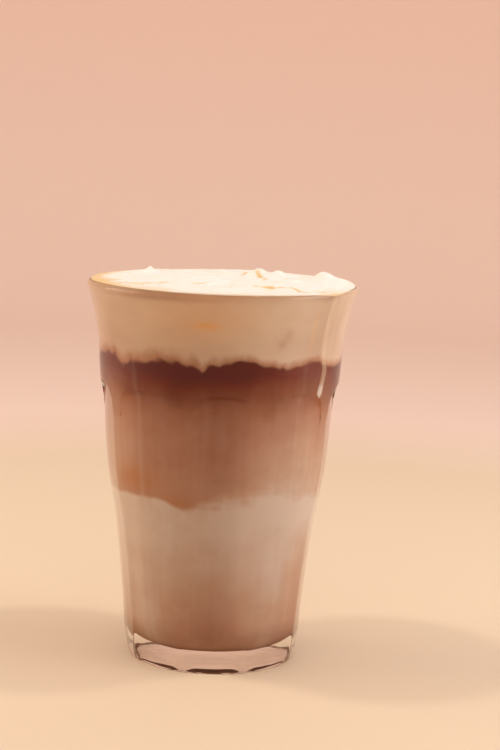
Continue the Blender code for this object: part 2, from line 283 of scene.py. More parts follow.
def panel_half(glass, height):
    """Half-angle of a panel, which widens towards the foot until the piers are sharp ridges."""
    up = np.clip(height / glass.arch_spring, 0, 1)
    return glass.panel_half_foot + (glass.panel_half_top - glass.panel_half_foot) * up


def lesser(first, second, soft):
    """The lesser of two radii, with a short parabola where they cross."""
    blend = np.clip(0.5 + (first - second) / (2 * soft), 0, 1)
    return first + (second - first) * blend - soft * blend * (1 - blend)


def outer_radius(glass, angle, height):
    """Outside of the glass: nearly flat arched panels cut into round piers, under a wider round collar.

    A panel is the chord pier * cos(half) / cos(across), eased back towards the pier. The foot's taper and
    its rounded edge are turned about the axis, and cut across piers and panels alike.
    """
    pier = through(PIER_OUTLINE, height)
    across = from_middle(angle, glass.panel_turn, math.tau / glass.panels)
    chord = pier * np.cos(panel_half(glass, height)) / np.cos(across)
    soft = glass.edge_softness
    body = lesser(pier, pier + (chord - pier) * glass.flatness, soft)
    taper = np.clip(1 - height / glass.foot_taper, 0, 1) ** 1.3
    corner = pier + soft - (glass.foot_inset + soft) * taper - rounding(height, glass.foot_corner)
    drawn_in = lesser(body - glass.panel_inset * taper, corner, soft)
    body = np.where(height < glass.foot_taper, drawn_in, body)
    above = smoothstep((height - glass.arch_spring - arch(glass, angle)) / glass.ledge + 0.5)
    collar = through(COLLAR_OUTLINE, height)
    return body + (collar - body) * above


def cavity_radius(glass, height, inset=0.0):
    """Inside of the glass with its rounded floor corner, or a wall that stands off it by inset."""
    corner = rounding(height - glass.floor - inset, glass.floor_fillet - inset)
    return through(CAVITY_OUTLINE, height) - inset - corner


def lip_middle(glass):
    """Radius and height of the middle of the rim's rounding."""
    return glass.rim_radius - glass.lip_radius, glass.height - glass.lip_radius


def lip_path(glass, over, stand_off):
    """Radius and height of a path round the rim's rounding, this far off the glass."""
    reach = glass.lip_radius + stand_off
    radius, height = lip_middle(glass)
    return radius + reach * np.cos(over), height + reach * np.sin(over)


def ring(angles, radius, height):
    """Points of one ring, as an array of x, y, z."""
    radius = np.broadcast_to(radius, angles.shape)
    height = np.broadcast_to(height, angles.shape)
    return np.stack([radius * np.sin(angles), -radius * np.cos(angles), height], axis=1)


def evenly(count):
    """Column angles all round."""
    return np.arange(count) * math.tau / count


def numbered(rows, columns):
    """Numbers of a grid's points, and of each one's neighbour round the axis."""
    corner = np.arange(rows * columns).reshape(rows, columns)
    return corner, np.roll(corner, -1, axis=1)


def wrapped_mesh(name, points, **values):
    """A closed mesh from rings of points, with fans to a hub at each end, and values at its points."""
    rows, columns, _ = points.shape
    hubs = points[[0, -1]].mean(axis=1)
    corner, after = numbered(rows, columns)
    walls = np.stack([corner[:-1], after[:-1], after[1:], corner[1:]], axis=-1).reshape(-1, 4)
    first = np.stack([after[0], corner[0], np.full(columns, rows * columns)], axis=-1)
    last = np.stack([corner[-1], after[-1], np.full(columns, rows * columns + 1)], axis=-1)
    mesh = bpy.data.meshes.new(name)
    places = np.concatenate([points.reshape(-1, 3), hubs])
    mesh.from_pydata(places.tolist(), [], walls.tolist() + first.tolist() + last.tolist())
    for key, grid in values.items():
        ends = grid[[0, -1]].mean(axis=1)
        layer = mesh.attributes.new(key, "FLOAT", "POINT")
        layer.data.foreach_set("value", np.concatenate([grid.ravel(), ends]).astype(np.float32))
    mesh.shade_smooth()
    mesh.set_sharp_from_angle(angle=SHARP_CORNER)
    return mesh


def add_piece(name, mesh, material, node):
    """A finished piece at the origin, which rides the root body and stands for a CAD node."""
    old = bpy.data.objects.get(name)
    if old is not None and "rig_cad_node" not in old:
        bpy.data.objects.remove(old)
    mesh.materials.append(material)
    piece = bpy.data.objects.new(name, mesh)
    bpy.context.scene.collection.objects.link(piece)
    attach(piece, "root")
    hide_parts(node)
    return piece


def glass_columns(glass, height):
    """Column angles of the glass at one height, crowded at the panels' upright edges, which they follow."""
    half, pitch = math.degrees(glass.panel_half_top), 360 / glass.panels
    flat = np.linspace(0.2 - half, half - 2.4, 19)[1:]
    edge = half + EDGE_COLUMNS
    across = np.concatenate([-edge[::-1], flat[flat > -half + 2.0], edge, [pitch / 2]])
    now = math.degrees(panel_half(glass, height))
    moved = np.interp(across, (-pitch / 2, -half, half, pitch / 2), (-pitch / 2, -now, now, pitch / 2))
    turns = np.arange(glass.panels)[:, None] * pitch + moved
    return glass.panel_turn + np.radians(turns.ravel())


def glass_points(glass):
    """Rings from the middle of the foot outwards, up the outside, over the lip and down to the floor."""
    angles = glass_columns(glass, 0)
    rings = []
    flat_part = 1 - glass.punt_slope / glass.foot_ring
    for part in (*np.linspace(0.1, flat_part, 5), *np.linspace(flat_part, 1, 9)[1:]):
        rise = smoothstep((1 - part) * glass.foot_ring / glass.punt_slope)
        rings.append(ring(angles, glass.foot_ring * part, glass.punt * rise))
    flat_edge = outer_radius(glass, angles, 0.0)
    for part in (0.35, 0.7, 1.0):
        rings.append(ring(angles, glass.foot_ring + (flat_edge - glass.foot_ring) * part, 0.0))

    edge = glass.foot_corner * (1 - np.cos(np.radians(np.arange(10, 91, 10))))
    taper = np.linspace(glass.foot_corner, glass.foot_taper, 8)[1:-1]
    ledge_low = glass.arch_spring - glass.ledge * 0.6
    ledge_high = glass.arch_spring + glass.ledge * 0.6
    body = np.linspace(glass.foot_taper, glass.arch_spring - glass.arch_reach, BODY_ROWS)
    lower = np.linspace(body[-1], ledge_low, LOWER_ROWS)[1:-1]
    ledge = np.linspace(ledge_low, ledge_high, LEDGE_ROWS)
    collar = np.linspace(ledge_high, glass.height - 2.5 * glass.lip_radius, COLLAR_ROWS)[1:]
    for base in (*edge, *taper, *body, *lower, *ledge, *collar):
        angles = glass_columns(glass, base)
        follow = np.clip(1 - (abs(base - glass.arch_spring) - glass.ledge / 2) / glass.arch_reach, 0, 1)
        height = base + arch(glass, angles) * follow
        rings.append(ring(angles, outer_radius(glass, angles, height), height))

    for over in np.radians(np.linspace(-10, 190, LIP_ROWS)):
        rings.append(ring(angles, *lip_path(glass, over, 0.0)))

    wall_top = lip_middle(glass)[1] - 2 * glass.lip_radius
    wall = np.linspace(wall_top, glass.floor + glass.floor_fillet, CAVITY_ROWS)
    turns = np.radians(np.arange(9, 90, 9))
    corner = glass.floor + glass.floor_fillet * (1 - np.sin(turns))
    for height in (*wall, *corner):
        rings.append(ring(angles, cavity_radius(glass, height), height))
    floor_edge = cavity_radius(glass, glass.floor)
    for part in np.linspace(1, 0.1, 8):
        rings.append(ring(angles, floor_edge * part, glass.floor))
    return np.array(rings)


def dip(angles, middle, half_width, depth):
    """A tongue that hangs down from a boundary at one place round the glass."""
    off = from_middle(angles, math.radians(middle), math.tau) / math.radians(half_width)
    return -depth * np.exp(-(off**2))


def waves(angles, seed, size):
    """Uneven ups and downs round the glass: whole waves of shrinking size with seeded starts."""
    starts = np.random.default_rng(seed).uniform(0, math.tau, 8)
    counts = np.arange(2, 2 + len(starts))
    return size * sum(np.cos(n * angles + start) / n for n, start in zip(counts, starts))


def milk_boundary(drink, angles):
    return drink.milk_top + waves(angles, 3, 0.0010) + dip(angles, -19, 8, 0.0025)


def coffee_boundary(drink, angles):
    return drink.coffee_milk_top + waves(angles, 5, 0.0014) + dip(angles, -20, 8, 0.0022)


# Tongues and crests of the cream's lower edge: direction and half-width in degrees, depth in millimetres
CREAM_DIPS = (
    (-54, 4.5, 3.6), (-45, 6, 1.2), (-30, 8, -0.6), (-16.5, 2.5, 1.0), (-8.2, 2.3, 2.9), (-0.3, 1.4, 0.5),
    (10, 9, -2.0), (21, 3, 0.5), (29, 2, 0.6), (34, 2.2, 0.8), (50, 8, -1.5), (72, 12, 2.6)
)


def espresso_boundary(drink, angles):
    dips = sum(dip(angles, middle, half_width, depth / 1000) for middle, half_width, depth in CREAM_DIPS)
    return drink.espresso_top + waves(angles, 8, 0.0010) + dips


def sheet(glass, drink, angles, boundary, lift, shares):
    """Rings of a boundary between two layers, level in the middle and uneven at the wall."""
    edge = boundary(drink, angles)
    level = edge.mean()
    rings = []
    for part in shares:
        height = level + (edge - level) * part**2 + lift
        rings.append(ring(angles, cavity_radius(glass, height, -drink.into_wall) * part, height))
    return rings


def side(glass, drink, angles, low, high, rows):
    """Rings up the wall of the cavity between two boundaries, without the boundaries' own rings."""
    rings = []
    for row in range(1, rows):
        height = low + (high - low) * row / rows
        rings.append(ring(angles, cavity_radius(glass, height, -drink.into_wall), height))
    return rings


def patch(angles, heights, turn_at, turn_half, height_at, height_half):
    """A soft oval patch on the wall: 1 in its middle, falling as exp(-x^2 - y^2) in half-widths from it.

    Its direction and half-width are in degrees, its height and half-height in millimetres.
    """
    off = from_middle(angles, math.radians(turn_at), math.tau) / math.radians(turn_half)
    up = (heights * 1000 - height_at) / height_half
    return np.exp(-(off**2) - up**2)


def patches(table, angles, heights):
    """Sum of soft oval patches, each an amount and the place that patch takes."""
    return sum(amount * patch(angles, heights, *place) for amount, *place in table)


# Share of coffee at the wall, 0 for milk to 1 for espresso, against height in millimetres; low down it rises
# towards the floor, so that the milk gets darker towards the bottom
COFFEE_BY_HEIGHT = (
    (6, 0.66), (7.4, 0.46), (11, 0.40), (19, 0.30), (29, 0.20), (40, 0.10), (48, 0.03), (56, 0.02),
    (64, 0.06), (78, 0.12), (85, 0.19), (89, 0.30), (92.5, 0.43), (95, 0.52), (98, 0.64), (101, 0.68),
    (130, 0.68)
)
# What the middle layer and all above it have on top of that
MIXED_IN = 0.34

# Patches on the wall: amount, direction and half-width in degrees, height and half-height in millimetres
# Coffee patches are partly uneven mixing and partly painted light: the paler ones on the flanks stand for
# light from the sides, and the darker ones low in front for painted shade
COFFEE_AND_PAINTED_LIGHT_PATCHES = (
    (0.12, -22, 7, 91.5, 4.5), (0.10, 9, 12, 98, 4), (0.10, -14, 10, 97, 3.5), (-0.07, 30, 18, 97, 6),
    (-0.14, -72, 16, 96, 9), (-0.16, 58, 15, 96, 7), (0.04, 0, 18, 68, 10), (-0.14, 34, 20, 68, 10),
    (-0.11, -46, 12, 18, 14), (-0.15, 40, 10, 8, 5), (0.08, 0, 18, 19, 12), (0.06, 0, 14, 55.2, 0.8),
    (-0.20, 32, 22, 58, 6), (-0.14, -68, 12, 66, 12), (0.10, 68, 14, 33, 12), (-0.15, 66, 16, 65, 9),
    (-0.08, 40, 12, 30, 12), (-0.15, -62, 12, 26, 18), (-0.10, -50, 14, 12, 6), (-0.10, 46, 10, 100, 3),
    (0.22, 78, 10, 96, 9), (0.10, -80, 8, 96, 9), (-0.12, 54, 10, 76, 7), (-0.12, 54, 14, 58, 7),
    (-0.10, -56, 10, 73, 10), (-0.04, 12, 14, 94, 5)
)
AMBER_PATCHES = ((1, -50, 20, 62, 5), (0.8, -24, 9, 56.5, 2.2))
# Painted highlights: two pale upright streaks of light on the drink, where the glass's ridges focus the side
# lights
PAINTED_LIGHT_STREAK_PATCHES = ((1, -45.5, 1.6, 50, 42), (0.8, 45, 1.6, 50, 42))
WARM_PATCHES = ((0.75, -8, 26, 116, 10),)
# Tinge patches: the first deepens the band under the rim on the left, partly coffee stain and partly painted
# shade under the lip; the rest are smudges and browner flanks
TINGE_AND_SHADE_PATCHES = (
    (0.40, -30, 26, 121.3, 0.9), (0.28, 29, 2.5, 107.5, 1.6), (0.224, 32, 2.5, 110.5, 1.8),
    (0.23, 58, 24, 109, 14), (0.12, 66, 1.2, 111, 8), (0.12, -62, 16, 106, 14), (0.30, -56, 7, 99.5, 3),
    (0.20, -66, 22, 113, 14), (0.16, -52, 18, 105, 6), (0.12, 50, 10, 106, 7)
)
SYRUP_PATCHES = ((1, -6.5, 6, 113.4, 1.5), (0.3, 46, 1.0, 112, 7))

# The faint brown band that runs all round under the rim, partly coffee stain and partly painted shade under
# the lip: amount, height and half-height in millimetres
RIM_STAIN_AND_SHADE_BAND = (0.04, 121.3, 0.9)


def wall_values(drink, points):
    """What the colours are read from, at each point.

    coffee is the share of coffee, which also makes the milk darker towards the bottom, and whose patches are
    partly painted light: paler flanks for light from the sides and a darker front in painted shade; milk_rise
    is the height above the milk's top, in widths of the blended zone, 1.8 mm on the left and 9.8 on the
    right;
    cream_rise is the height above the coffee's top in millimetres, less on the left, where that edge is
    softer;
    amber is 1 in the warm swirl; the streaks' value is 1 on the two bright upright streaks, painted
    highlights of light focused through the glass; warm is the brighter, warmer cream left of the front; tinge
    is the brown band under the rim, deepest on the left, partly coffee stain and partly painted shade under
    the lip, with smudges and browner flanks; syrup is the yellow spot and streak.
    """
    x, y, z = np.moveaxis(points, -1, 0)
    angles = np.arctan2(x, -y)
    height = z * 1000
    blend_width = 1.8 + 8 * smoothstep((angles + 0.5) / 0.9)
    milk_rise = (height - milk_boundary(drink, angles) * 1000) / blend_width
    softness = 1 + 0.8 * smoothstep((0.2 - angles) / 0.5)
    cream_rise = (height - espresso_boundary(drink, angles) * 1000) / softness
    swirl = np.clip(patches(AMBER_PATCHES, angles, z), 0, 1)
    # Band under the rim: partly coffee stain, partly painted shade under the lip
    depth, band_height, band_half = RIM_STAIN_AND_SHADE_BAND
    band = depth * np.exp(-(((height - band_height) / band_half) ** 2))
    return {
        "coffee": through(COFFEE_BY_HEIGHT, height) + patches(COFFEE_AND_PAINTED_LIGHT_PATCHES, angles, z),
        "milk_rise": np.clip(milk_rise, -4, 4),
        "cream_rise": np.clip(cream_rise, -20, 30),
        "amber": swirl * smoothstep(milk_rise + 0.5),
        "gleam": patches(PAINTED_LIGHT_STREAK_PATCHES, angles, z),
        "warm": patches(WARM_PATCHES, angles, z),
        "tinge": band + patches(TINGE_AND_SHADE_PATCHES, angles, z),
        "syrup": patches(SYRUP_PATCHES, angles, z),
    }


def drink_mesh(name, drink, rings):
    points = np.array(rings)
    return wrapped_mesh(name, points, **wall_values(drink, points))


def milk_mesh(glass, drink):
    """From the rounded floor up to the uneven top of the milk."""
    angles = evenly(DRINK_COLUMNS)
    bottom = glass.floor - drink.into_wall
    fillet = glass.floor_fillet + drink.into_wall
    floor_edge = cavity_radius(glass, bottom, -drink.into_wall)
    rings = [ring(angles, floor_edge * part, bottom) for part in (0.3, 0.6, 0.9, 1.0)]
    for over in np.radians(np.arange(10, 91, 8)):
        height = bottom + fillet * (1 - math.cos(over))
        rings.append(ring(angles, cavity_radius(glass, height, -drink.into_wall), height))
    low = np.full(DRINK_COLUMNS, bottom + fillet)
    rings += side(glass, drink, angles, low, milk_boundary(drink, angles), MILK_ROWS)
    rings += sheet(glass, drink, angles, milk_boundary, 0.0, INWARDS)
    return drink_mesh("fine_milk", drink, rings)


def layer_mesh(name, glass, drink, below, above, rows):
    """A layer between two uneven boundaries, which dips just into the layer under it."""
    angles = evenly(DRINK_COLUMNS)
    rings = sheet(glass, drink, angles, below, -OVERLAP, OUTWARDS)
    rings += side(glass, drink, angles, below(drink, angles) - OVERLAP, above(drink, angles), rows)
    rings += sheet(glass, drink, angles, above, 0.0, INWARDS)
    return drink_mesh(name, drink, rings)


def bump(x, y, place, height, half_width):
    """A round swell of the cream, or a hollow if its height is negative."""
    return height * np.exp(-((x - place[0]) ** 2 + (y - place[1]) ** 2) / half_width**2)


def folds(x, y, seed, wave, size):
    """Soft spooned folds: plane waves of about this length in seeded directions, each bent by the last."""
    draw = np.random.default_rng(seed)
    total = np.zeros_like(x)
    for _ in range(6):
        heading, start = draw.uniform(0, math.tau, 2)
        stretch = draw.uniform(0.7, 1.6)
        along = x * math.cos(heading) + y * math.sin(heading)
        total += np.sin(along * math.tau / (wave * stretch) + start + 1.2 * total)
    return size * total / 6


def stroke(x, y, path, half_width):
    """1 on a line through these points, falling off beside it by its nearest straight run."""
    nearest = np.full_like(x, np.inf)
    for (x0, y0), (x1, y1) in zip(path, path[1:]):
        run = np.array([x1 - x0, y1 - y0])
        part = np.clip(((x - x0) * run[0] + (y - y0) * run[1]) / (run @ run), 0, 1)
        nearest = np.minimum(nearest, (x - x0 - run[0] * part) ** 2 + (y - y0 - run[1] * part) ** 2)
    return np.exp(-nearest / half_width**2)


# Creases of the cream seen from above, before the folds bend them: points, half-width and depth, all in
# millimetres
CREASES = (
    (
        ((10.3, -25.2), (12.8, -23.8), (15.2, -24.9), (20.2, -25), (23.8, -28.4), (28, -28.6), (31, -29.5)),
        0.6, 0.8
    ),
    (((10.3, -25.2), (14, -24.4)), 1.0, 0.7),
    (((11.3, 10), (12.4, 6), (13.2, -2), (13.4, -6)), 0.8, 0.5),
    (((5.9, 9), (6.9, 13), (8.1, 20)), 0.8, 0.4),
    (((-9.3, -24.3), (-5.9, -22.3)), 0.8, 0.35),
    (((-24.7, -24.2), (-17, -23.6)), 0.9, 0.4),
    (((-31.5, -20.2), (-26.3, -24.4)), 1.1, 0.45),
    (((-39.3, -15), (-35.3, -14.2), (-31.4, -10.3)), 1.1, 0.4),
    (((-20, 24), (-14, 28), (-8, 30), (2, 29)), 1.5, 0.3),
    (((22, 24), (26, 19), (28, 14)), 1.4, 0.25),
)


def crease_sum(x, y):
    """All the creases; seeded folds bend them sideways, so that none is straight, and vary their depth."""
    bent_x = (x + folds(x, y, 12, 0.014, 0.0010)) * 1000
    bent_y = (y + folds(x, y, 15, 0.014, 0.0026)) * 1000
    patchy = 1.1 + folds(x, y, 18, 0.007, 0.7)
    creases = (depth * stroke(bent_x, bent_y, path, half) for path, half, depth in CREASES)
    return patchy * sum(creases)


# Swells and hollows of the cream: place, height and half-width in millimetres
SWELLS = (
    ((-24, 12), 1.4, 1.3), ((-25.5, 12), 0.8, 4.5), ((-10, -14), 0.9, 9), ((11.8, 12), 2.2, 3.4),
    ((18.2, 8), 2, 3), ((26, -6), -0.9, 5.5), ((32.2, 1), 3, 3.2), ((38.5, -2), 2.7, 6.5), ((0, -2), -0.6, 6)
)


def cream_relief(x, y):
    """Height of the spooned swells, peaks and creases above the plain dome."""
    relief = 0.001 * sum(bump(x * 1000, y * 1000, *swell) for swell in SWELLS)
    relief += folds(x, y, 4, 0.019, 0.0006) + folds(x, y, 9, 0.007, 0.0003)
    return relief - 0.001 * crease_sum(x, y)


def overhang(cream, angles):
    """1 in the middle of the cream's lean over the rim, in front and on the right.

    It falls off as the exponential of minus the fourth power of the angle, in half-widths.
    """
    off = from_middle(angles, cream.overhang_turn, math.tau) / cream.overhang_spread
    return np.exp(-(off**4))


def cream_mesh(glass, drink, cream):
    """Down to the coffee inside, up the wall, over the lip where it leans out, and over the heaped top.

    The heap rises from its edge by 1 minus the dome's power of its share of the radius, plus the relief.
    It is kept at least a film off the lip: no lower than a circle of radius reach round the lip's middle.
    """
    angles = evenly(CREAM_COLUMNS)
    rings = sheet(glass, drink, angles, espresso_boundary, -OVERLAP, OUTWARDS)
    low = espresso_boundary(drink, angles) - OVERLAP
    middle_radius, middle_height = lip_middle(glass)
    high = np.full(CREAM_COLUMNS, middle_height)
    rings += side(glass, drink, angles, low, high, CREAM_ROWS)
    lean = overhang(cream, angles)
    off_drip = from_middle(angles, cream.drip_turn, math.tau) / cream.root_spread
    sweep = cream.edge_sweep + cream.overhang_sweep * lean + cream.root_sweep * np.exp(-(off_drip**2))
    reach = glass.lip_radius + cream.on_rim + cream.film * lean
    for part in np.linspace(0, 1, CREAM_EDGE_ROWS):
        off_glass = (cream.on_rim + drink.into_wall) * smoothstep(part) - drink.into_wall
        rings.append(ring(angles, *lip_path(glass, math.pi - sweep * part, off_glass)))
    edge_radius, edge_height = lip_path(glass, math.pi - sweep, cream.on_rim)
    for part in 1 - np.linspace(0, 1, HEAP_ROWS)[1:-1] ** 1.35:
        dome = 1 - part**cream.dome_power
        points = ring(angles, edge_radius * part, edge_height + (cream.top - edge_height) * dome)
        points[:, 2] += cream_relief(points[:, 0], points[:, 1]) * dome**cream.relief_fade
        off_lip = edge_radius * part - middle_radius
        film = middle_height + np.sqrt(np.clip(reach**2 - off_lip**2, 0, None))
        points[:, 2] = np.maximum(points[:, 2], film)
        rings.append(points)
    points = np.array(rings)
    values = wall_values(drink, points)
    return wrapped_mesh("fine_cream", points, **values, **top_values(glass, points))


def top_values(glass, points):
    """top is 1 on the open cream and 0 behind the glass.

    stain is the tinge of the open cream: its creases, the rim, the left edge, the low edge on the right.
    """
    x, y, z = np.moveaxis(points, -1, 0)
    inwards = np.hypot(x, y) < glass.rim_radius - 2 * glass.lip_radius - 0.0001
    over_rim = z > glass.height - 0.6 * glass.lip_radius
    top = smoothstep((z - glass.height) / 0.0006 + 1) * np.maximum(inwards, over_rim)
    at_rim = np.exp(-(((glass.rim_radius - 0.0022 - np.hypot(x, y)) / 0.0032) ** 2))
    left = np.clip(0.5 - x / 0.06, 0, 1)
    stain = 1.7 * crease_sum(x, y) + at_rim * (0.1 + 0.45 * left**2)
    stain += 0.7 * smoothstep((glass.height + 0.0003 - z) / 0.0007) * smoothstep((x - 0.012) / 0.016)
    stain += 0.30 * smoothstep((-0.028 - x) / 0.014) + bump(x, y, (0.032, -0.026), 0.5, 0.005)
    return {"top": top, "stain": np.clip(stain, 0, 1)}


def film_points(glass, cream):
    """A flattened tube down the outside of the glass from inside the cream, with a tear at its end.

    It wanders to the side a little above the tear.
    """
    turn_at, end = cream.drip_turn, cream.drip_end
    width, thickness = cream.drip_width, cream.drip_thickness
    sunk = 0.0001
    wall_top = 0.1205
    start_inside, start_under = 0.0025, 0.0006
    stand_off = thickness / 2 - sunk
    over = [lip_path(glass, climb, stand_off) for climb in np.radians(np.linspace(95, 15, 9))]
    start = over[0][0] - start_inside, over[0][1] - start_under
    heights = np.linspace(wall_top, end, DRIP_ROWS)
    ledge = glass.arch_spring + float(arch(glass, turn_at)) + glass.ledge / 2
    walls = outer_radius(glass, turn_at, np.maximum(heights, ledge)) + stand_off
    path = np.array([start, *over, *np.stack([walls, heights], axis=1)])
    along = np.gradient(path, axis=0)
    along /= np.linalg.norm(along, axis=1, keepdims=True)
    up_tear = (path[:, 1] - end) / cream.tear_length
    tear = np.sqrt(np.clip(up_tear, 0.01, 1) * np.clip(1.6 - up_tear, 0, 1)) * cream.tear_width / 2
    neck = width / 2 * smoothstep(up_tear * 3)
    half_width = np.where(up_tear < 1, np.maximum(tear, neck), width / 2)
    half_depth = np.minimum(half_width, thickness / 2)
    turns = evenly(DRIP_COLUMNS)
    heading = turn_at + cream.drip_sway * np.exp(-(((up_tear - 2) / 1.1) ** 2))
    level = np.zeros_like(heading)
    out = np.stack([np.sin(heading), -np.cos(heading), level], axis=1)
    across = np.stack([np.cos(heading), np.sin(heading), level], axis=1)
    up = np.array([0, 0, 1])
    middle = path[:, :1] * out + path[:, 1:] * up
    off_wall = along[:, :1] * up - along[:, 1:] * out
    points = (
        middle[:, None]
        + np.cos(turns)[None, :, None] * (half_width[:, None] * across)[:, None]
        + np.sin(turns)[None, :, None] * (half_depth[:, None] * off_wall)[:, None]
    )
    return points[::-1], up_tear[::-1], turns


def drip_mesh(glass, cream):
    """The drip; its cover is how opaque it is: most in the tear, thin in the film and at the film's sides."""
    points, up_tear, turns = film_points(glass, cream)
    cover = 0.38 - 0.20 * smoothstep((up_tear - 0.6) / 0.8) - 0.09 * smoothstep(up_tear - 2.6)
    return wrapped_mesh("drip", points, cover=cover[:, None] * (1 - 0.8 * np.cos(turns)[None, :] ** 6))


def new_material(name):
    """A material and its emptied node tree."""
    material = bpy.data.materials.get(name) or bpy.data.materials.new(name)
    material.use_nodes = True
    material.node_tree.nodes.clear()
    return material, material.node_tree


def add_node(tree, kind, inputs, **settings):
    """A new node; each of its inputs is a constant, set on its own socket, or another node's output."""
    node = tree.nodes.new("ShaderNode" + kind)
    for key, setting in settings.items():
        setattr(node, key, setting)
    for key, value in inputs.items():
        if isinstance(value, bpy.types.NodeSocket):
            tree.links.new(value, node.inputs[key])
        else:
            node.inputs[key].default_value = value
    return node


def own_place(tree):
    """The object's own coordinates."""
    return add_node(tree, "TexCoord", {}).outputs["Object"]


def noise(tree, scale, detail, stretch=(1, 1, 1)):
    """Noise on the object's own coordinates, which Mapping stretches."""
    mapping = add_node(tree, "Mapping", {"Scale": stretch, "Vector": own_place(tree)})
    place = mapping.outputs["Vector"]
    return add_node(tree, "TexNoise", {"Scale": scale, "Detail": detail, "Vector": place}).outputs["Fac"]


def maths(tree, operation, *values):
    """One Math node; each value is a number or another node's output."""
    return add_node(tree, "Math", dict(enumerate(values)), operation=operation).outputs[0]


def attribute(tree, name):
    return add_node(tree, "Attribute", {}, attribute_name=name).outputs["Fac"]


def mixed(tree, factor, first, second):
    """Colour mix; each colour is an RGB triple or another node's output."""
    ends = {"Factor": factor}
    for key, colour in (("A", first), ("B", second)):
        ends[key] = colour if isinstance(colour, bpy.types.NodeSocket) else (*colour, 1)
    return add_node(tree, "Mix", ends, data_type="RGBA").outputs["Result"]


def less_half(tree, value, size):
    """size * (value - 0.5)"""
    return maths(tree, "MULTIPLY_ADD", value, size, -size / 2)


def total(tree, *values):
    result = values[0]
    for value in values[1:]:
        result = maths(tree, "ADD", result, value)
    return result


def eased(tree, value, zero_at, one_at):
    """0 at one value and 1 at another, with a smooth rise between and level beyond."""
    inputs = {"From Min": zero_at, "From Max": one_at, "Value": value}
    return add_node(tree, "MapRange", inputs, interpolation_type="SMOOTHSTEP").outputs["Result"]


def ramped(tree, value, stops):
    """Colour ramp through (place, colour) stops."""
    ramp = add_node(tree, "ValToRGB", {"Fac": value})
    for _ in stops[2:]:
        ramp.color_ramp.elements.new(0.5)
    for element, (place, colour) in zip(ramp.color_ramp.elements, stops):
        element.position = place
        element.color = (*colour, 1)
    return ramp.outputs["Color"]


def bumped(tree, height, strength, distance):
    """The normal of a surface with these fine bumps."""
    inputs = {"Strength": strength, "Distance": distance, "Height": height}
    return add_node(tree, "Bump", inputs).outputs["Normal"]


def finish_surface(tree, surface):
    add_node(tree, "OutputMaterial", {"Surface": surface})


def glass_material(glass):
    """Clear glass, faintly wavy from its pressing, and darker in the thick foot, partly its own colour and
    partly painted shade of the floor under the foot.

    Light from the lamps passes straight through it.
    """
    material, tree = new_material("pressed clear glass")
    height = add_node(tree, "SeparateXYZ", {"Vector": own_place(tree)}).outputs["Z"]
    # The foot's darkening, in streaks: partly the glass's own colour, partly painted shade of the floor under
    # it
    in_foot = eased(tree, height, glass.floor + 0.002, glass.floor - 0.001)
    level_streaks = maths(tree, "MULTIPLY_ADD", noise(tree, 60, 3, (1, 1, 14)), 3.0, -0.6)
    thick = maths(tree, "MULTIPLY", in_foot, level_streaks)
    shader = add_node(tree, "BsdfPrincipled", {
        "Base Color": mixed(tree, thick, glass.tint, glass.foot_tint_and_shade),
        "Roughness": 0.0,
        "IOR": 1.5,
        "Specular Tint": (0.7, 0.68, 0.66, 1),
        "Transmission Weight": 1.0,
        "Normal": bumped(tree, noise(tree, 90, 1, (1, 1, 0.1)), 0.2, 0.0002),
    })
    clear = add_node(tree, "BsdfTransparent", {"Color": (*glass.tint, 1)})
    rays = add_node(tree, "LightPath", {})
    mix = add_node(tree, "MixShader", {
        "Fac": rays.outputs["Is Shadow Ray"], 1: shader.outputs["BSDF"], 2: clear.outputs["BSDF"],
    })
    finish_surface(tree, mix.outputs["Shader"])
    return material


def layers_colour(tree, drink):
    """Colour behind the glass: the share of coffee, warped by noise, read off a ramp; then tinged cream.

    The same noise warps both boundaries in every piece, so that each swirl runs on from piece to piece.
    """
    swirl = noise(tree, 70, 3, (1, 1, 1.5))
    fine = noise(tree, 330, 3)
    streak = noise(tree, 420, 2, (1, 1, 0.03))
    k = drink.uneven
    milk_edge = total(
        tree, attribute(tree, "milk_rise"), less_half(tree, swirl, 0.9 * k), less_half(tree, fine, 0.5 * k)
    )
    mixed_in = maths(tree, "MULTIPLY", eased(tree, milk_edge, -0.5, 0.5), MIXED_IN)
    coffee = total(
        tree, attribute(tree, "coffee"), mixed_in, less_half(tree, swirl, 0.22 * k),
        less_half(tree, fine, 0.06 * k), less_half(tree, streak, 0.09 * k)
    )
    stops = (
        (0.0, drink.milk), (0.25, drink.milk_low), (0.40, drink.latte), (0.55, drink.latte_dark),
        (0.70, drink.coffee), (0.85, drink.dark_coffee), (1.0, drink.espresso),
    )
    colour = ramped(tree, coffee, stops)
    amber = maths(tree, "MULTIPLY", attribute(tree, "amber"), 0.68)
    colour = mixed(tree, amber, colour, drink.amber)
    # Painted highlight: the two upright streaks of light, mixed towards the milk's colour
    gleam = maths(tree, "MULTIPLY", attribute(tree, "gleam"), 0.22)
    colour = mixed(tree, gleam, colour, drink.milk)
    rise = total(
        tree, attribute(tree, "cream_rise"), less_half(tree, swirl, 1.8 * k), less_half(tree, fine, 2.0 * k)
    )
    foam = mixed(tree, eased(tree, rise, 0.0, 3.0), drink.halo, drink.wall_cream)
    foam = mixed(tree, attribute(tree, "warm"), foam, drink.warm_cream)
    wisp = less_half(tree, swirl, 0.35 * k)
    # Brown tinge: the band under the rim is partly coffee stain and partly painted shade under the lip
    foam = mixed(tree, total(tree, attribute(tree, "tinge"), wisp), foam, drink.tinge)
    syrup = maths(tree, "MULTIPLY", attribute(tree, "syrup"), 0.6)
    foam = mixed(tree, syrup, foam, drink.syrup)
    return mixed(tree, eased(tree, rise, -0.5, 0.6), colour, foam)


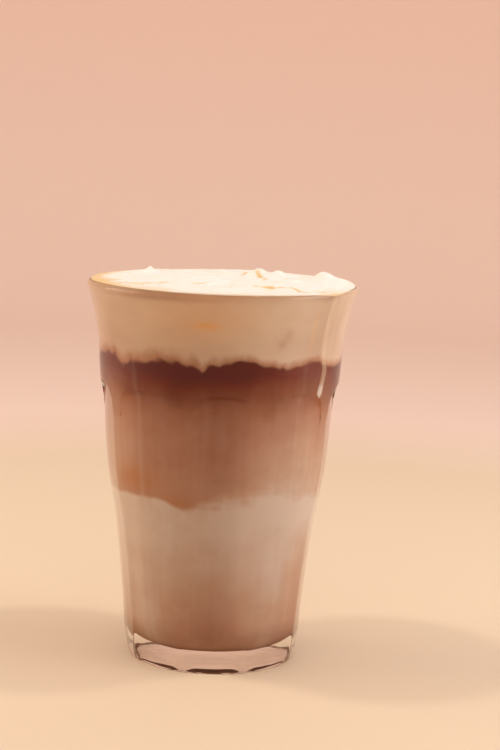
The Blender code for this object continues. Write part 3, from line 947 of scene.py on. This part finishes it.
def drink_material(drink):
    """Milk and coffee, matt where it touches the glass."""
    material, tree = new_material("milk and coffee")
    shader = add_node(tree, "BsdfPrincipled", {
        "Base Color": layers_colour(tree, drink),
        "Roughness": maths(tree, "MULTIPLY_ADD", noise(tree, 60, 2), 0.2, 0.5),
        "IOR": 1.35,
        "Specular IOR Level": 0.0,
    })
    finish_surface(tree, shader.outputs["BSDF"])
    return material


def satin_cream(tree, colour, more):
    """The shader of open cream: a soft satin sheen and fine pores, with more inputs of the piece's own."""
    return add_node(tree, "BsdfPrincipled", {
        "Base Color": colour,
        "Roughness": maths(tree, "MULTIPLY_ADD", noise(tree, 90, 3), 0.2, 0.3),
        "IOR": 1.4,
        "Specular IOR Level": 0.3,
        "Normal": bumped(tree, noise(tree, 420, 4), 0.35, 0.0003),
        **more,
    }).outputs["BSDF"]


def cream_material(drink, cream):
    """Thick cream that lets a little light in: warm white, tan in its creases, tinged behind the glass."""
    material, tree = new_material("spooned cream")
    blot = less_half(tree, noise(tree, 90, 4), 0.9)
    stain = eased(tree, total(tree, attribute(tree, "stain"), blot), -0.1, 0.9)
    open_cream = mixed(tree, stain, cream.cream, cream.stain)
    colour = mixed(tree, attribute(tree, "top"), layers_colour(tree, drink), open_cream)
    light_let_in = {
        "Subsurface Weight": 0.2, "Subsurface Radius": (1.0, 0.6, 0.35), "Subsurface Scale": 0.003,
    }
    finish_surface(tree, satin_cream(tree, colour, light_let_in))
    return material


def drip_material(cream):
    """The drip's film of cream, which lets the coffee behind it show."""
    material, tree = new_material("film of cream")
    patchy = less_half(tree, noise(tree, 260, 3, (1, 1, 0.4)), 0.15)
    cover = total(tree, attribute(tree, "cover"), patchy)
    tinge = eased(tree, attribute(tree, "cover"), 0.4, 0.15)
    colour = mixed(tree, maths(tree, "MULTIPLY", tinge, 0.6), cream.cream, cream.stain)
    finish_surface(tree, satin_cream(tree, colour, {"Alpha": cover}))
    return material


def stage_material(stage):
    """Plain matt floor, paler near the glass."""
    material, tree = new_material("matt floor")
    away = add_node(tree, "VectorMath", {0: own_place(tree)}, operation="LENGTH").outputs["Value"]
    reach = add_node(tree, "MapRange", {"From Min": 0.33, "From Max": 0.47, "Value": away})
    colour = mixed(tree, reach.outputs["Result"], stage.floor, stage.wall)
    shader = add_node(tree, "BsdfPrincipled", {"Base Color": colour, "Roughness": 0.75})
    finish_surface(tree, shader.outputs["BSDF"])
    return material


def stage_mesh(stage):
    """A round floor that curves up into a round wall: a flat disc, a quarter circle, then straight up."""
    curve = stage.wall_height * 0.4
    turns = np.radians(np.linspace(0, 90, 16))
    radii = [*np.linspace(0.02, stage.radius, 12), *(stage.radius + curve * np.sin(turns[1:]))]
    heights = [*np.full(12, -stage.drop), *(curve * (1 - np.cos(turns[1:])))]
    radii.append(radii[-1])
    heights.append(stage.wall_height)
    outline = np.array([radii, heights]).T
    angles = evenly(96)
    points = np.array([ring(angles, radius, height) for radius, height in outline])
    rows, columns, _ = points.shape
    corner, after = numbered(rows, columns)
    faces = np.stack([after[:-1], corner[:-1], corner[1:], after[1:]], axis=-1).reshape(-1, 4)
    middle = np.stack([corner[0], after[0], np.full(columns, rows * columns)], axis=-1)
    mesh = bpy.data.meshes.new("floor")
    places = np.concatenate([points.reshape(-1, 3), [[0, 0, -stage.drop]]])
    mesh.from_pydata(places.tolist(), [], faces.tolist() + middle.tolist())
    mesh.shade_smooth()
    return mesh


# Each lamp's name, place, the point that it faces, size, the level that it takes, and colour
LAMPS = (
    ("top left light", (-0.54, 0.02, 1.3), (0, 0, 0.06), 0.10, "top_level", (1, 0.95, 0.85)),
    ("top right light", (0.54, 0.02, 1.3), (0, 0, 0.06), 0.10, "top_level", (1, 0.95, 0.85)),
    ("left light", (-0.55, 0.05, 0.30), (0, 0, 0.06), 0.4, "left_level", (1, 0.88, 0.74)),
    ("right light", (0.55, -0.10, 0.30), (0, 0, 0.06), 0.4, "right_level", (0.92, 0.96, 1)),
    ("front light", (0.06, -0.55, 0.95), (0, 0, 0.12), 0.03, "front_level", (1, 0.97, 0.9)),
)


def add_lamp(name, place, aim, size, energy, colour):
    """A soft square lamp at a place, facing a point."""
    data = bpy.data.lights.new(name, "AREA")
    data.size = size
    data.energy = energy
    data.color = colour
    lamp = bpy.data.objects.new(name, data)
    bpy.context.scene.collection.objects.link(lamp)
    lamp.location = place
    lamp.rotation_euler = (Vector(aim) - Vector(place)).to_track_quat("-Z", "Y").to_euler()
    return lamp


def add_camera(stage):
    """The photograph's view: behind the front, looking past the glass, a little down and rolled."""
    pan, tilt, roll = stage.camera_pan, stage.camera_tilt, stage.camera_roll
    ahead = Vector((math.sin(pan) * math.cos(tilt), math.cos(pan) * math.cos(tilt), -math.sin(tilt)))
    level = Vector((math.cos(pan), -math.sin(pan), 0))
    up = level.cross(ahead)
    right = level * math.cos(roll) + up * math.sin(roll)
    above = up * math.cos(roll) - level * math.sin(roll)
    data = bpy.data.cameras.new("camera")
    data.lens = stage.lens
    camera = bpy.data.objects.new("camera", data)
    bpy.context.scene.collection.objects.link(camera)
    turned = Matrix((right, above, -ahead)).transposed().to_4x4()
    camera.matrix_world = Matrix.Translation((0, -stage.camera_distance, stage.camera_height)) @ turned
    bpy.context.scene.camera = camera


class LATTE_OT_glass(bpy.types.Operator):
    """Build the fine glass"""

    bl_idname = "latte.glass"
    bl_label = "Glass"

    def execute(self, context):
        glass = context.scene.latte_glass
        mesh = wrapped_mesh("fine_glass", glass_points(glass))
        add_piece("fine_glass", mesh, glass_material(glass), "glass")
        return {"FINISHED"}


class LATTE_OT_drink(bpy.types.Operator):
    """Build the milk, the coffee with milk and the espresso"""

    bl_idname = "latte.drink"
    bl_label = "Drink"

    def execute(self, context):
        glass, drink = context.scene.latte_glass, context.scene.latte_drink
        look = drink_material(drink)
        add_piece("fine_milk", milk_mesh(glass, drink), look, "milk")
        mesh = layer_mesh(
            "fine_coffee_milk", glass, drink, milk_boundary, coffee_boundary, COFFEE_MILK_ROWS
        )
        add_piece("fine_coffee_milk", mesh, look, "coffee_milk")
        mesh = layer_mesh(
            "fine_espresso", glass, drink, coffee_boundary, espresso_boundary, ESPRESSO_ROWS
        )
        add_piece("fine_espresso", mesh, look, "espresso")
        return {"FINISHED"}


class LATTE_OT_cream(bpy.types.Operator):
    """Build the cream and its drip"""

    bl_idname = "latte.cream"
    bl_label = "Cream"

    def execute(self, context):
        scene = context.scene
        glass, drink, cream = scene.latte_glass, scene.latte_drink, scene.latte_cream
        mesh = cream_mesh(glass, drink, cream)
        add_piece("fine_cream", mesh, cream_material(drink, cream), "cream")
        add_piece("drip", drip_mesh(glass, cream), drip_material(cream), "cream")
        return {"FINISHED"}


class LATTE_OT_stage(bpy.types.Operator):
    """Build the floor, the lights and the camera"""

    bl_idname = "latte.stage"
    bl_label = "Stage"

    def execute(self, context):
        stage = context.scene.latte_stage
        mesh = stage_mesh(stage)
        mesh.materials.append(stage_material(stage))
        floor = bpy.data.objects.new("floor", mesh)
        context.scene.collection.objects.link(floor)
        for name, place, aim, size, level, colour in LAMPS:
            add_lamp(name, place, aim, size, getattr(stage, level), colour)
        world = bpy.data.worlds.new("soft light")
        world.use_nodes = True
        background = world.node_tree.nodes["Background"]
        background.inputs["Color"].default_value = (*stage.sky, 1)
        background.inputs["Strength"].default_value = stage.sky_level
        context.scene.world = world
        context.scene.view_settings.view_transform = "Standard"
        add_camera(stage)
        return {"FINISHED"}


class LATTE_PT_panel(bpy.types.Panel):
    """The latte's pieces and sizes"""

    bl_label = "Latte"
    bl_idname = "LATTE_PT_panel"
    bl_space_type = "VIEW_3D"
    bl_region_type = "UI"
    bl_category = "Latte"

    def draw(self, context):
        for operator in OPERATORS:
            self.layout.operator(operator.bl_idname)
        for name in GROUPS:
            group = getattr(context.scene, name)
            box = self.layout.box()
            for prop in group.__annotations__:
                box.prop(group, prop)


OPERATORS = (LATTE_OT_glass, LATTE_OT_drink, LATTE_OT_cream, LATTE_OT_stage)
GROUPS = {
    "latte_glass": LatteGlass,
    "latte_drink": LatteDrink,
    "latte_cream": LatteCream,
    "latte_stage": LatteStage,
}


def register():
    for item in (*GROUPS.values(), *OPERATORS, LATTE_PT_panel):
        bpy.utils.register_class(item)
    for name, group in GROUPS.items():
        setattr(bpy.types.Scene, name, PointerProperty(type=group))


def unregister():
    for name in GROUPS:
        delattr(bpy.types.Scene, name)
    for item in reversed((*GROUPS.values(), *OPERATORS, LATTE_PT_panel)):
        bpy.utils.unregister_class(item)


def main():
    register()
    bpy.ops.latte.glass()
    bpy.ops.latte.drink()
    bpy.ops.latte.cream()
    bpy.ops.latte.stage()


if __name__ == "__main__":
    main()
